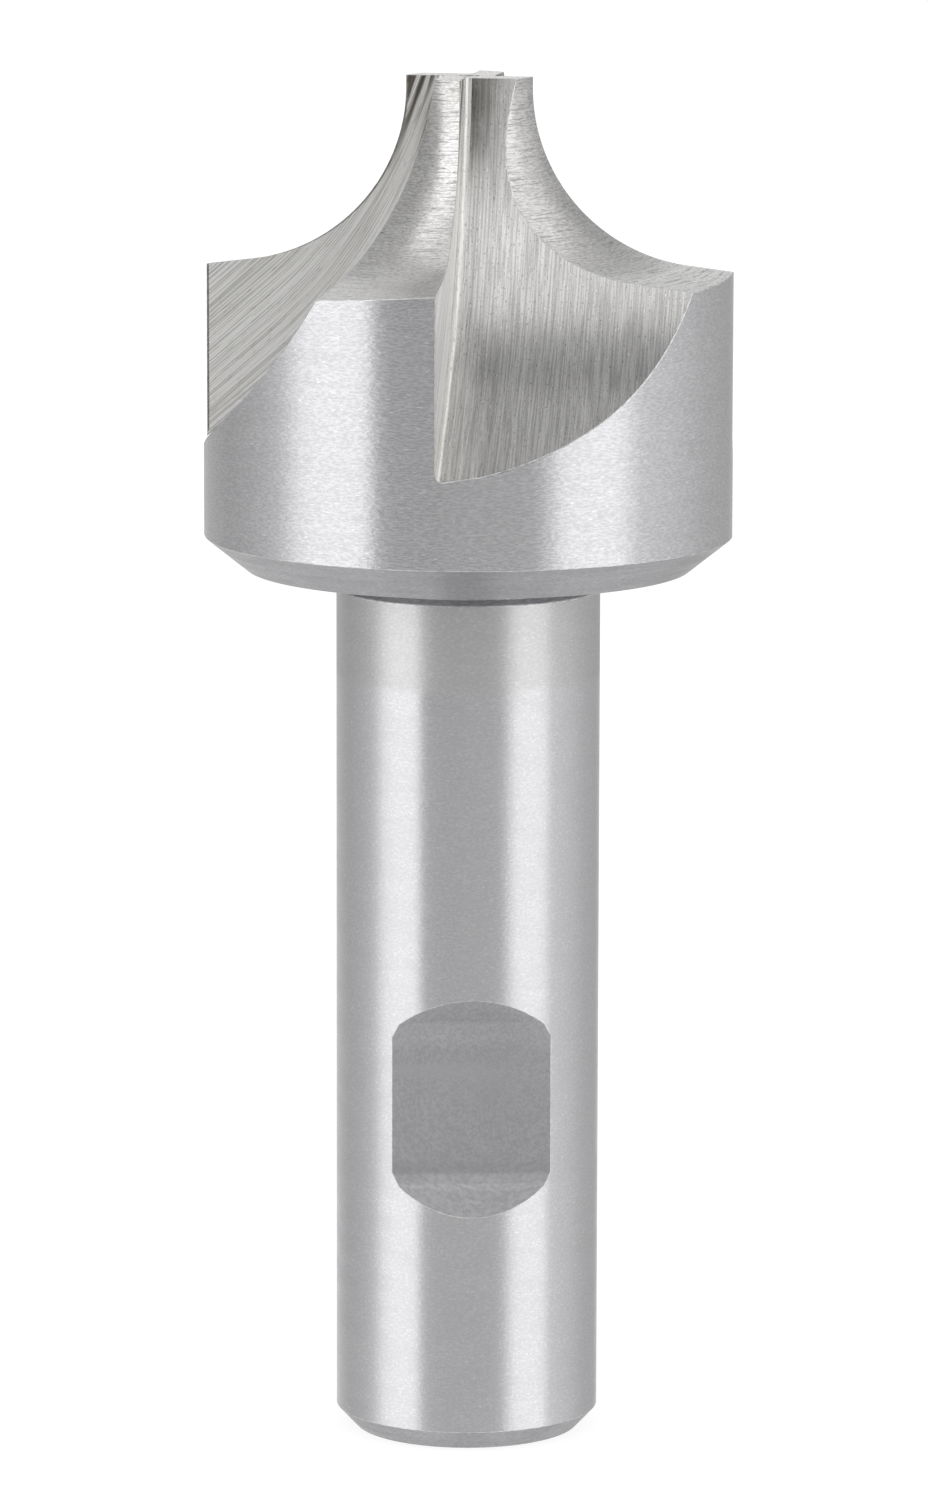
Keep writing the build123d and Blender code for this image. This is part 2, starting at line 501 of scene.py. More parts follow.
def rake_patch(form, edge, root_line):
    """Rake face from the root out to the cutting edge, and below that to the head's side."""
    x = sqrt(form.head_radius**2 - form.rake_offset**2)
    below = lerp(edge[-1, 2], root_line[-1, 2], steps(EXIT_ROWS)[1:])
    rim = np.vstack([edge, joined(x, -form.rake_offset, below)])
    rim[-1] = root_line[-1]
    width = np.linalg.norm(rim - root_line, axis=1)
    inside = 1 - np.minimum(form.hone / np.maximum(width, form.hone), HONE_SHARE)
    f = np.column_stack([np.outer(inside, steps(RAKE_COLUMNS)), np.ones_like(inside)])
    rake = lerp(root_line[:, None], rim[:, None], f[..., None])
    course = np.array([[form.floor_course(x) for x in row] for row in rake[..., 0]])
    run, height, fall = course[..., 0], course[..., 1], course[..., 2]
    lay = joined(run, rake[..., 2] - height, 0)
    return Patch(rake, lay, joined(np.sin(fall), 0, np.cos(fall)))


def side_grid(form, border):
    """The head's side, from its lower chamfer up to the border of a tooth and of the flute behind it."""
    skirt_top = np.minimum(border[-1, 2], border[:, 2])
    chamfer_top = form.underside + form.head_chamfer_height
    heights = [lerp(chamfer_top, skirt_top, g) for g in steps(SKIRT_ROWS)[:-1]]
    heights += [lerp(skirt_top, border[:, 2], g) for g in steps(EXIT_ROWS)]
    return joined(border[:, 0], border[:, 1], heights)


def tooth_patches(form):
    """One tooth and the flute ahead of it, in the tooth's own axes.

    Returns the patches by finish, the head's side below them, and their part of the tip's outline.
    """
    flank = flank_patch(form)
    heel = spin(flank.grid[:, -1], PITCH)
    below = lerp(heel[-1, 2], form.root_foot(0), steps(EXIT_ROWS)[1:])
    levels = np.concatenate([heel[:, 2], below])
    back = back_patch(form, heel, levels)
    root = root_patch(form, back.grid[:, 0], levels)
    rake = rake_patch(form, flank.grid[:, 0], root.grid[:, -1])
    patches = {
        "flank": flank,
        "flute": back,
        "root": root,
        "rake": Patch(*(values[:, :-1] for values in rake)),
        "hone": Patch(*(values[:, -2:] for values in rake)),
    }
    # The flute behind the tooth is the one ahead of it, turned back to the last tooth
    foot = np.vstack([back.grid[FLANK_ROWS + 1 :, -1], root.grid[-1, 1:]])
    mouth = np.vstack([back.grid[0, -2::-1], root.grid[0, 1:], rake.grid[0, 1:-1]])
    side = side_grid(form, np.vstack([flank.grid[-1], spin(foot, -PITCH)]))
    return patches, side, np.vstack([flank.grid[0], spin(mouth, -PITCH)])


def outline_turns(outline):
    """Turns of a tooth's part of the tip's outline, made to fall all the way, also along the rake line."""
    turns = np.arctan2(outline[:, 1], outline[:, 0])
    first = turns[0] - TIP_MARGIN
    line = len(turns) - RAKE_COLUMNS
    turns[line:] = lerp(turns[line - 1], first - PITCH, steps(RAKE_COLUMNS)[1:])
    turns[: FLANK_COLUMNS + 1] = steps(FLANK_COLUMNS, first, turns[FLANK_COLUMNS])
    return turns


def head_patches(shell, form):
    """The four teeth, the tip and the head's side. Returns the turns of the side's columns."""
    patches, side, outline = tooth_patches(form)
    for k in range(TEETH):
        turn = form.first_edge + k * PITCH
        for finish, (grid, lay, across) in patches.items():
            shifted = lay + np.array([0, 0, LAY_STEP * (k + 1)])
            shell.patch(finish, spin(grid, turn), shifted, spin(across, turn))
        grid = spin(side, turn)
        shell.patch("head", grid, grid[..., (0, 2, 1)], UPWARDS)

    # The tip's outline runs clockwise in each tooth, so the teeth are taken in falling order
    starts = [form.first_edge + k * PITCH for k in reversed(range(TEETH))]
    outer = np.vstack([spin(outline, start) for start in starts])[::-1]
    outer_turns = np.concatenate([outline_turns(outline) + start for start in starts])[::-1]
    turns = steps(HOLE_COLUMNS, outer_turns[0], outer_turns[0] + 2 * pi)
    hole = circle(form.tip_hole, turns[:-1], form.tip_height)
    shell.ring("tip", outer, hole, outer_turns, turns[:-1], straight_marks)
    centre_hole(shell, turns, form.tip_hole, form.tip_drill, form.hole_cone, form.tip_height, -form.tip_depth)
    columns = np.arctan2(side[0, :-1, 1], side[0, :-1, 0])
    return np.unwrap(np.concatenate([columns + start for start in starts]))[::-1]


class Flat:
    """Measures of the side-lock flat, and the shank's columns, of which some follow its outline."""

    def __init__(self, form):
        self.form = form
        self.floor = form.shank_radius - form.flat_depth
        self.ramp_foot = self.floor + form.flat_facet * sin(form.flat_ramp)
        self.half_turn = acos(self.floor / form.shank_radius)
        self.inner_turn = acos(self.ramp_foot / form.shank_radius)
        self.floor_half = form.flat_length / 2 - form.flat_facet
        self.ramp_half = form.flat_length / 2 + form.flat_facet * cos(form.flat_ramp)
        self.ramp_turns = steps(RAMP_COLUMNS, -self.inner_turn, self.inner_turn)
        facet = steps(FACET_COLUMNS, self.inner_turn, self.half_turn)
        self.turns = np.concatenate([-facet[:0:-1], self.ramp_turns, facet[1:]])
        wall = steps(ROUND_COLUMNS, self.half_turn, 2 * pi - self.half_turn)[1:-1]
        self.columns = np.concatenate([self.turns, wall]) - pi / 2

    def opening(self, turn):
        """Half the height of the flat's opening on a shank line at this turn from its middle."""
        depth = self.form.shank_radius * cos(turn)
        if depth < self.ramp_foot:
            share = (depth - self.floor) / (self.ramp_foot - self.floor)
            return lerp(self.floor_half, self.ramp_half, share)
        return self.ramp_half + (depth - self.ramp_foot) / tan(self.form.flat_ramp)


def groove_patches(shell, form, side_turns, columns):
    """Groove under the head with its rounded corner, and the head's underside round it."""
    bottom = form.shank_radius - form.groove_depth
    end = form.underside - form.groove_width
    fillet = steps(FILLET_ROWS, 0, pi / 2)
    radii = np.append(bottom + form.groove_round * (1 - np.sin(fillet)), [bottom, form.shank_radius])
    heights = form.underside - form.groove_round * (1 - np.cos(fillet))
    heights = np.append(heights, [end + form.groove_depth, end])
    turned(shell, "groove", radii, heights, closed(columns), form.shank_radius)
    outer = circle(form.head_radius - form.head_chamfer_width, side_turns, form.underside)
    inner = circle(radii[0], columns, form.underside)
    whole_turns = round((columns[0] - side_turns[0]) / (2 * pi))
    shell.ring("turned", outer, inner, side_turns + 2 * pi * whole_turns, columns, ring_marks)


def shank_patches(shell, form, flat):
    """The shank's wall below, beside and above the flat."""
    turns = closed(flat.columns)
    beside = np.full(len(flat.columns) - len(flat.turns), flat.floor_half)
    gap = np.concatenate([[flat.opening(t) for t in flat.turns], beside, [flat.opening(flat.turns[0])]])

    def wall(low, high, rows, part=slice(None)):
        z = lerp(low, high, steps(rows)[:, None])
        grid = circle(form.shank_radius, turns, z)[:, part]
        shell.patch("shank", grid, grid[..., (0, 2, 1)], UPWARDS)

    middle, half = form.flat_height, flat.floor_half
    wall(form.end_chamfer_height, middle - gap, LOW_SHANK_ROWS)
    wall(middle - half, middle + half, FLAT_ROWS, slice(len(flat.turns) - 1, None))
    wall(middle + gap, form.underside - form.groove_width, HIGH_SHANK_ROWS)


def flat_patches(shell, form, flat):
    """The flat's two ramps, two facets and milled floor, with the rings of the milling cutter."""

    def milled(rows):
        """Each row is given by its places across the flat, its distance from the axis and its height."""
        grid = np.array([joined(x, -depth, z) for x, depth, z in rows])
        away = grid[..., (0, 2)] - np.array([RING_ACROSS, form.flat_height + RING_UP])
        reach = np.linalg.norm(away, axis=-1)
        turn = np.arctan2(away[..., 1], away[..., 0])
        lay = joined(RING_SCALE * turn, reach, grid[..., 1])
        shell.patch("flat", grid, lay, joined(away[..., 0] / reach, 0, away[..., 1] / reach))

    radius, middle = form.shank_radius, form.flat_height
    ramp = radius * np.sin(flat.ramp_turns)
    share = ramp / ramp[-1]
    gap = np.array([flat.opening(t) for t in flat.ramp_turns])
    rises = [lerp(flat.ramp_half, gap, g) for g in steps(RAMP_ROWS)]
    depths = [flat.ramp_foot + (rise - flat.ramp_half) * tan(form.flat_ramp) for rise in rises]
    facet_turns = steps(FACET_ROWS, flat.inner_turn, flat.half_turn)
    for way in (-1, 1):
        milled([(ramp, depth, middle + way * rise) for depth, rise in zip(depths, rises)])
        milled(
            [
                (share * radius * sin(turn), radius * cos(turn), middle + way * flat.opening(turn))
                for turn in facet_turns
            ]
        )
    levels = steps(FLAT_ROWS, middle - flat.floor_half, middle + flat.floor_half)
    milled([(share * radius * sin(flat.half_turn), flat.floor, z) for z in levels])


def end_patches(shell, form, turns):
    """End chamfer, shank end and its centre hole."""
    end = form.shank_radius - form.end_chamfer_width
    radii = steps(CHAMFER_ROWS, form.shank_radius, end)
    heights = steps(CHAMFER_ROWS, form.end_chamfer_height, 0)
    turned(shell, "turned", radii, heights, turns, form.shank_radius)
    radii = steps(CHAMFER_ROWS, end, form.end_hole)
    turned(shell, "turned", radii, 0 * radii, turns, form.shank_radius)
    centre_hole(shell, turns, form.end_hole, form.end_drill, form.hole_cone, 0, form.end_depth)


def lower_patches(shell, form, side_turns):
    """Head chamfer, underside, groove, shank with its flat, end chamfer and shank end."""
    radii = steps(CHAMFER_ROWS, form.head_radius, form.head_radius - form.head_chamfer_width)
    heights = steps(CHAMFER_ROWS, form.underside + form.head_chamfer_height, form.underside)
    turned(shell, "turned", radii, heights, closed(side_turns), form.head_radius)
    flat = Flat(form)
    groove_patches(shell, form, side_turns, flat.columns)
    shank_patches(shell, form, flat)
    flat_patches(shell, form, flat)
    end_patches(shell, form, closed(flat.columns))


# How wide the edge between two finishes is broken, as a share of the widest
EDGE_SHARES = {
    ("flank", "flute"): 0.7,
    ("groove", "shank"): 0.8,
    ("flute", "head"): 0.6,
    ("head", "root"): 0.6,
    ("flank", "head"): 0.6,
    ("flank", "hone"): 0.25,
    ("head", "hone"): 0.25,
}
# Share of the widest break for all other edges, how unevenly the stone was led, and how fast that changes
OTHER_EDGES, UNEVEN, UNEVEN_LENGTH = 0.3, 0.5, 0.9 * MM
# An edge is sharp from this angle inside one finish or beside the rounded root, and elsewhere from the second
SOFT_ANGLE, SHARP_ANGLE = radians(17), radians(4)
# Faces across a broken edge
BREAK_FACES = 2


def close_mesh(mesh):
    """Turns every face outwards and marks the edges that get broken, a little unevenly as by hand."""
    work = bmesh.new()
    work.from_mesh(mesh)
    bmesh.ops.recalc_face_normals(work, faces=work.faces)
    weight = work.edges.layers.float.new("bevel_weight_edge")
    for e in work.edges:
        pair = tuple(sorted({FINISHES[f.material_index] for f in e.link_faces}))
        least = SOFT_ANGLE if len(pair) == 1 or "root" in pair else SHARP_ANGLE
        sharp = e.calc_face_angle(0) > least and pair != ("flat",)
        e.smooth = not sharp
        if sharp:
            middle = (e.verts[0].co + e.verts[1].co) / 2
            hand = 1 + UNEVEN * noise.noise(middle / UNEVEN_LENGTH)
            e[weight] = EDGE_SHARES.get(pair, OTHER_EDGES) * hand
    for f in work.faces:
        f.smooth = True
    work.to_mesh(mesh)
    work.free()


# Finishes


def add(tree, kind, settings=()):
    """Adds a node. A key names a property or an input, and a node or an output as its value is linked."""
    node = tree.nodes.new("ShaderNode" + kind)
    for key, value in dict(settings).items():
        if isinstance(value, (Node, NodeSocket)):
            tree.links.new(value.outputs[0] if isinstance(value, Node) else value, node.inputs[key])
        elif isinstance(key, str) and key in node.bl_rna.properties:
            setattr(node, key, value)
        else:
            node.inputs[key].default_value = value
    return node


def empty_tree(owner):
    owner.use_nodes = True
    owner.node_tree.nodes.clear()
    return owner.node_tree


class SteelColours(PropertyGroup):
    """Colours of the steel by how each surface was made, the broken edges lighter as a painted highlight"""

    bright: colour("Ground steel", "Cylindrically ground head and centreless ground shank", "#D9D9DB")
    neck: colour("Neck zone", "Tint of the shank under the head, where the wheel stopped", "#FCFBF9")
    flute: colour("Flute steel", "Form ground flanks and surface ground flutes", "#D8D7D6")
    flute_stain: colour("Flute stain", "Tint of the dried coolant in the flutes near the tip", "#77716A")
    root: colour("Root steel", "Rounded roots of the flutes", "#E8E6E3")
    rake: colour("Rake steel", "Face ground rake faces and the tip, a little warmer", "#F2F1EE")
    rake_stain: colour("Rake stain", "Tint of the dried coolant on the rake faces near the tip", "#7A756F")
    hone: colour("Honed steel", "Strip along the cutting edge that was honed matt", "#A09C98")
    turned: colour("Turned steel", "Turned chamfers, ends and groove", "#B9B9BB")
    milled: colour("Milled steel", "Milled side-lock flat", "#BFBFC2")
    # Lighter than the steel, a painted highlight on the broken edges besides the light their bevel catches
    broken: colour("Broken edges", "Edges that were rubbed down with a stone", "#EEEEEE")


class Marks(NamedTuple):
    """One layer of marks, as a noise stretched along them.

    length, width and depth are in millimetres, and low and high are the shades of its low and high places.
    The shade changes between start and end of the noise's range, so a layer whose two ends lie above the
    middle makes a few separate marks. haze is how much rougher the steel is in the high places.
    """

    length: float
    width: float
    depth: float
    low: float
    high: float
    start: float = 0.4
    end: float = 0.6
    haze: float = 0.0


class Stain(NamedTuple):
    """Dried coolant near the tip. reach is how far it gets from the flute's root, or 0 for blots all over."""

    tint: tuple
    reach: float


class Zone(NamedTuple):
    """The part of the shank above a height, duller and in another tint."""

    start: float
    tint: tuple
    rough: float


# Every noise has two finer layers, each 0.6 times as strong as the one before it
NOISE = {"Scale": 1.0, "Detail": 2.0, "Roughness": 0.6}
# Range of the last marks' noise in which the roughness changes, and its shares at the two ends
ROUGH_START, ROUGH_END, ROUGH_LOW, ROUGH_HIGH = 0.35, 0.65, 1.1, 0.9
# Depths below the tip between which a stain grows, and the length and width of its blots, in millimetres
STAIN_START, STAIN_FULL, STAIN_BLOTS = 8.0, 1.5, (9.0, 2.2)
# Range of the noise in which a blot begins, least share of stain between blots in a flute, and the share of
# its reach from which a stain thins out
BLOT_START, BLOT_END, BLOT_LEAST, STAIN_EDGE = 0.42, 0.56, 0.75, 0.3
# Half the height over which a zone begins, in millimetres
ZONE_BLEND = 0.4


def steel(name, metal, rough, pull, *layers, round_work=False, stain=None, zone=None):
    """Steel in a colour, with its layers of marks. pull is how far they stretch its highlights across them.

    Round work has its marks placed in space, so that they close round the tool.
    """
    material = bpy.data.materials.new(name)
    tree = empty_tree(material)
    lay = add(tree, "Attribute", {"attribute_name": "lay"}).outputs["Vector"]
    across = add(tree, "Attribute", {"attribute_name": "across"}).outputs["Vector"]

    def field(long, wide):
        """Noise stretched along the marks."""
        scale = (1 / long, 1 / wide, 1 / long if round_work else 1.0)
        place = add(tree, "Mapping", {"Vector": lay, "Scale": scale})
        return add(tree, "TexNoise", {"Vector": place, **NOISE})

    def climb(start, end):
        """From 0 below the first height to 1 above the second, in metres."""
        place = add(tree, "TexCoord").outputs["Object"]
        up = add(tree, "SeparateXYZ", {0: place}).outputs[2]
        return add(tree, "MapRange", {"interpolation_type": "SMOOTHSTEP", 0: up, 1: start, 2: end})

    tone, haze, bump = None, None, None
    for marks in layers:
        height = field(marks.length, marks.width)
        change = {0: height, 1: marks.start, 2: marks.end}
        level = add(tree, "MapRange", {**change, 3: marks.low, 4: marks.high})
        tone = level if tone is None else add(tree, "Math", {"operation": "MULTIPLY", 0: tone, 1: level})
        if marks.haze:
            haze = add(tree, "MapRange", {**change, 4: marks.haze})
        if marks.depth:
            below = {} if bump is None else {"Normal": bump}
            relief = {"Strength": 1.0, "Distance": marks.depth * MM, "Height": height, **below}
            bump = add(tree, "Bump", relief)
    base = add(tree, "VectorMath", {"operation": "SCALE", 0: tuple(metal), 3: tone})
    change = {0: height, 1: ROUGH_START, 2: ROUGH_END, 3: rough * ROUGH_LOW, 4: rough * ROUGH_HIGH}
    spread = add(tree, "MapRange", change)
    if haze is not None:
        spread = add(tree, "Math", {"operation": "ADD", 0: spread, 1: haze})

    washes = []
    if stain:
        share = climb(CAD_HIGH[2] - STAIN_START * MM, CAD_HIGH[2] - STAIN_FULL * MM)
        change = {0: field(*STAIN_BLOTS), 1: BLOT_START, 2: BLOT_END, 3: BLOT_LEAST if stain.reach else 0.0}
        blots = add(tree, "MapRange", change)
        share = add(tree, "Math", {"operation": "MULTIPLY", 0: share, 1: blots})
        if stain.reach:
            out = add(tree, "SeparateXYZ", {0: lay}).outputs[1]
            change = {0: out, 1: stain.reach * STAIN_EDGE, 2: stain.reach, 3: 1.0, 4: 0.0}
            near = add(tree, "MapRange", change)
            share = add(tree, "Math", {"operation": "MULTIPLY", 0: share, 1: near})
        washes.append((share, stain.tint))
    if zone:
        share = climb((zone.start - ZONE_BLEND) * MM, (zone.start + ZONE_BLEND) * MM)
        spread = add(tree, "Mix", {"data_type": "FLOAT", 0: share, 2: spread, 3: zone.rough})
        washes.append((share, zone.tint))
    for share, tint in washes:
        wash = {"data_type": "RGBA", "blend_type": "MULTIPLY", 0: share, 6: base, 7: (*tint, 1.0)}
        base = add(tree, "Mix", wash).outputs[2]
    look = {"Metallic": 1.0, "Anisotropic": pull, "Base Color": base, "Roughness": spread}
    shader = add(tree, "BsdfPrincipled", {**look, "Normal": bump, "Tangent": across})
    add(tree, "OutputMaterial", {"Surface": shader})
    return material


def finishes(colours):
    """The steel of each finish.

    All of it is bare high-speed steel. A grinding wheel of medium grit leaves lines 0.02 to 0.05 mm apart,
    which is too fine to show where a pixel is 0.1 mm, so such lines are drawn 0.12 to 0.15 mm apart. Longer
    scratches, pits and blots have their real sizes.
    """
    return {
        # Cylindrically ground: fine rings draw the highlights out along the height, and the wheel's grain
        # makes them sparkle. Layers: grain, bright specks, faint rings.
        "head": steel(
            "cylindrically_ground_tool_steel", colours.bright, 0.24, 0.8,
            Marks(0.42, 0.12, 0.013, 0.9, 1.07, 0.42, 0.58),
            Marks(0.42, 0.13, 0, 1.0, 1.25, 0.62, 0.7),
            Marks(6, 0.5, 0, 0.985, 1.015),
            round_work=True,
        ),
        # Centreless ground with a finer wheel: the same rings, shallower, so the highlights are calmer. Under
        # the head the wheel stopped and the steel stays duller. Layers: grain, bright specks, cloudy rings.
        "shank": steel(
            "centreless_ground_tool_steel", colours.bright, 0.28, 0.8,
            Marks(0.24, 0.14, 0.006, 0.95, 1.04),
            Marks(0.24, 0.14, 0, 1.0, 1.12, 0.62, 0.7),
            Marks(4, 1.5, 0, 0.99, 1.01),
            round_work=True, zone=Zone(start=55.7, tint=colours.neck, rough=0.36),
        ),
        # Form ground with a dressed wheel: lines run round the land, which looks satin, and where they catch
        # the light the rougher scratches stay dark. Layers: lines, dark scratches, pits, cloudy bands.
        "flank": steel(
            "form_ground_tool_steel", colours.flute, 0.16, 0.8,
            Marks(0.4, 0.13, 0.01, 0.85, 1.13, 0.42, 0.58),
            Marks(2.2, 0.14, 0.008, 1.0, 0.8, 0.55, 0.61, 0.35),
            Marks(0.26, 0.15, 0, 1.0, 0.7, 0.59, 0.66),
            Marks(5, 0.6, 0, 0.96, 1.04),
        ),
        # Surface ground lengthwise with a coarse wheel: long dark and light lines, with torn grains between
        # them, and dried coolant in the narrow end. Layers: lines, pits, bright grains, broad bands.
        "flute": steel(
            "surface_ground_flute_steel", colours.flute, 0.18, 0.7,
            Marks(5, 0.13, 0.01, 0.84, 1.16, 0.43, 0.57),
            Marks(0.26, 0.15, 0, 1.0, 0.6, 0.6, 0.67),
            Marks(0.4, 0.13, 0, 1.0, 1.5, 0.64, 0.72),
            Marks(16, 0.5, 0, 0.92, 1.08),
            stain=Stain(tint=colours.flute_stain, reach=2.8),
        ),
        # Face ground by the wheel's side as it followed the flute's floor: long curved lines, matt and a
        # little warm, with blots of dried coolant at the tip. Layers: lines, short dark scratches, bands.
        "rake": steel(
            "face_ground_rake_steel", colours.rake, 0.5, 0.8,
            Marks(12, 0.13, 0.01, 0.77, 1.2, 0.43, 0.57),
            Marks(1.2, 0.14, 0, 1.0, 0.65, 0.62, 0.68),
            Marks(16, 0.9, 0, 0.95, 1.05),
            stain=Stain(tint=colours.rake_stain, reach=0),
        ),
        # Ground by the wheel's rounded corner: a narrow bright fillet with lines along it and a few pits.
        "root": steel(
            "corner_ground_root_steel", colours.root, 0.25, 0.6,
            Marks(3, 0.14, 0.01, 0.9, 1.08),
            Marks(0.5, 0.2, 0, 1.0, 0.75, 0.6, 0.66),
        ),
        # Faced on a surface grinder: short straight lines across the small end.
        "tip": steel("surface_ground_tip_steel", colours.rake, 0.35, 0.5, Marks(3, 0.2, 0.005, 0.93, 1.07)),
        # Turned finely and left so: an even grey with a dry grain. Layers: grain, bright specks, faint rings.
        "turned": steel(
            "fine_turned_tool_steel", colours.turned, 0.38, 0.7,
            Marks(0.35, 0.13, 0.014, 0.9, 1.06, 0.42, 0.58),
            Marks(0.35, 0.14, 0, 1.0, 1.25, 0.62, 0.7),
            Marks(6, 0.6, 0, 0.97, 1.03),
            round_work=True,
        ),
        # Turned with a narrow tool: a coarser, duller ring.
        "groove": steel(
            "turned_groove_steel", colours.turned, 0.45, 0.6,
            Marks(0.6, 0.2, 0.02, 0.85, 1.1),
            round_work=True,
        ),
        # Face milled: wide shallow rings from the cutter's feed, on an even grey. Layers: rings, grain.
        "flat": steel(
            "face_milled_flat_steel", colours.milled, 0.4, 0.3,
            Marks(3, 0.18, 0.005, 0.97, 1.03),
            Marks(0.25, 0.25, 0.006, 0.92, 1.08),
        ),
        # Honed by hand with a stone: a thin dark matt line along the cutting edge.
        "hone": steel("honed_edge_steel", colours.hone, 0.45, 0.3, Marks(0.6, 0.2, 0.01, 0.6, 1.1)),
        # Broken with a stone: an uneven line with no lay of its own, its lighter steel a painted highlight.
        "edge": steel(
            "stone_broken_edge_steel", colours.broken, 0.4, 0.0,
            Marks(0.5, 0.4, 0.01, 0.7, 1.1),
            round_work=True,
        ),
    }


# Studio: camera, floor and light


# Width of the camera's sensor, in millimetres, and the nearest and farthest that it sees, in metres
SENSOR, SEEN_FROM, SEEN_TO = 36.0, 0.01, 20.0


class StudioSettings(PropertyGroup):
    """Camera and light"""

    distance: length("Camera distance", "From the tool's axis", 571.2431)
    height: length("Camera height", "Above the floor", 147.46736)
    turn: angle("Camera turn", "Turn of the camera round the tool from -Y", -2.3)
    pitch: angle("Pitch", "How far the camera looks down", 9.6887163)
    yaw: angle("Yaw", "How far the camera looks past the axis", -0.0288977)
    roll: angle("Roll", "Lean of the camera", 0.12527608)
    lens: number("Lens", "Focal length on a 36 mm sensor, in millimetres", 192.0)
    paper: colour("Floor", "Colour of the pale paper floor", "#A8A8A8")
    glow: number("Floor glow", "Light that the camera sees in the floor, to make it white", 0.78)
    floor_size: length("Floor size", "Half the width of the floor", 3000)


# Light on the tool from all round, as (degrees to the right of the camera, level). A soft box stands on each
# side, and what is dark between them is the camera's side of the room.
FLOOR_LIGHT = [
    (-180, 0.5), (-150, 0.95), (-125, 0.55), (-95, 0.6), (-78, 1.15), (-46, 1.15), (-36, 0.55), (28, 0.55),
    (43, 1.15), (70, 1.15), (82, 0.7), (120, 0.5), (150, 0.95), (180, 0.5),
]
LOW_LIGHT = [
    (-180, 0.95), (-155, 0.68), (-128, 0.56), (-112, 0.58), (-98, 0.65), (-90, 0.76), (-80, 1.1), (-70, 1.22),
    (-46, 1.2), (-39, 0.7), (-14, 0.7), (0, 0.63), (30, 0.63), (43, 1.2), (70, 1.22), (79, 0.78), (100, 0.7),
    (125, 0.53), (155, 0.48), (180, 0.95),
]
WALL_LIGHT = [
    (-180, 0.6), (-155, 0.46), (-128, 0.4), (-112, 0.47), (-98, 0.56), (-90, 0.7), (-80, 1.08), (-70, 1.2),
    (-45, 1.2), (-40, 0.3), (-14, 0.3), (2, 0.42), (30, 0.42), (43, 1.2), (70, 1.22), (79, 0.78), (100, 0.69),
    (125, 0.54), (155, 0.42), (180, 0.57),
]
SIDE_LIGHT = [
    (-180, 0.57), (-155, 0.4), (-128, 0.32), (-112, 0.44), (-98, 0.54), (-87, 0.6), (-77, 1.16), (-70, 1.24),
    (-45, 1.26), (-40, 0.2), (-14, 0.2), (2, 0.33), (30, 0.35), (43, 1.2), (70, 1.22), (79, 0.86),
    (100, 0.72), (125, 0.56), (155, 0.42), (180, 0.57),
]
BROW_LIGHT = [
    (-180, 0.68), (-155, 0.5), (-128, 0.46), (-112, 0.46), (-98, 0.5), (-87, 0.62), (-77, 1.28), (-70, 1.42),
    (-45, 1.42), (-38, 0.7), (30, 0.6), (43, 1.16), (70, 1.16), (79, 0.9), (100, 0.76), (125, 0.54),
    (155, 0.46), (180, 0.68),
]
HIGH_LIGHT = [
    (-180, 0.7), (-150, 0.52), (-120, 0.55), (-100, 0.8), (-88, 1.18), (-70, 1.44), (-42, 1.1), (-30, 0.86),
    (20, 0.93), (38, 1.02), (70, 1.1), (110, 0.92), (150, 0.6), (180, 0.7),
]
UPPER_LIGHT = [
    (-180, 0.76), (-150, 0.94), (-120, 1.14), (-90, 1.28), (-60, 1.06), (-40, 0.84), (20, 0.9), (110, 1.05),
    (150, 0.84), (180, 0.76),
]
CEILING_LIGHT = [(-180, 0.7), (-150, 0.86), (-90, 0.86), (-60, 0.36), (-40, 0.34), (0, 0.5), (180, 0.7)]
DIM_LIGHT = [(-180, 0.3), (-60, 0.25), (180, 0.3)]
TOP_LIGHT = [(-180, 0.47), (180, 0.47)]
# The rings from low to high, and the degrees above the horizon between which each gives way to the next
LIGHTS = [
    FLOOR_LIGHT, LOW_LIGHT, WALL_LIGHT, SIDE_LIGHT, BROW_LIGHT, HIGH_LIGHT, UPPER_LIGHT, CEILING_LIGHT,
    DIM_LIGHT, TOP_LIGHT,
]
BLENDS = [(-45, -25), (-14, -7), (-6, 2), (6, 16), (30, 44), (46, 54), (57, 68), (70, 74), (75.5, 78)]
# Brightest level that the rings can hold
FULL_LEVEL = 2.0
# The metal mirrors the white background only in a strip behind the tool, which fades between these degrees
BEHIND_START, BEHIND_END = 5, 8


def put(context, name, data):
    """Puts a new object into the scene."""
    thing = bpy.data.objects.new(name, data)
    context.scene.collection.objects.link(thing)
    return thing


class MILL_OT_camera(Operator):
    """Makes the camera that looks at the tool as in the photograph"""

    bl_idname = "mill.make_camera"
    bl_label = "Camera"

    def execute(self, context):
        studio = context.scene.mill_studio
        data = bpy.data.cameras.new("camera")
        data.lens, data.sensor_width = studio.lens, SENSOR
        data.clip_start, data.clip_end = SEEN_FROM, SEEN_TO
        camera = put(context, "camera", data)
        context.scene.camera = camera
        spot = Matrix.Rotation(studio.turn, 4, "Z") @ Vector((0, -studio.distance, studio.height))
        camera.matrix_world = (
            Matrix.Translation(spot)
            @ Matrix.Rotation(studio.turn - studio.yaw, 4, "Z")
            @ Matrix.Rotation(pi / 2 - studio.pitch, 4, "X")
            @ Matrix.Rotation(studio.roll, 4, "Z")
        )
        return {"FINISHED"}


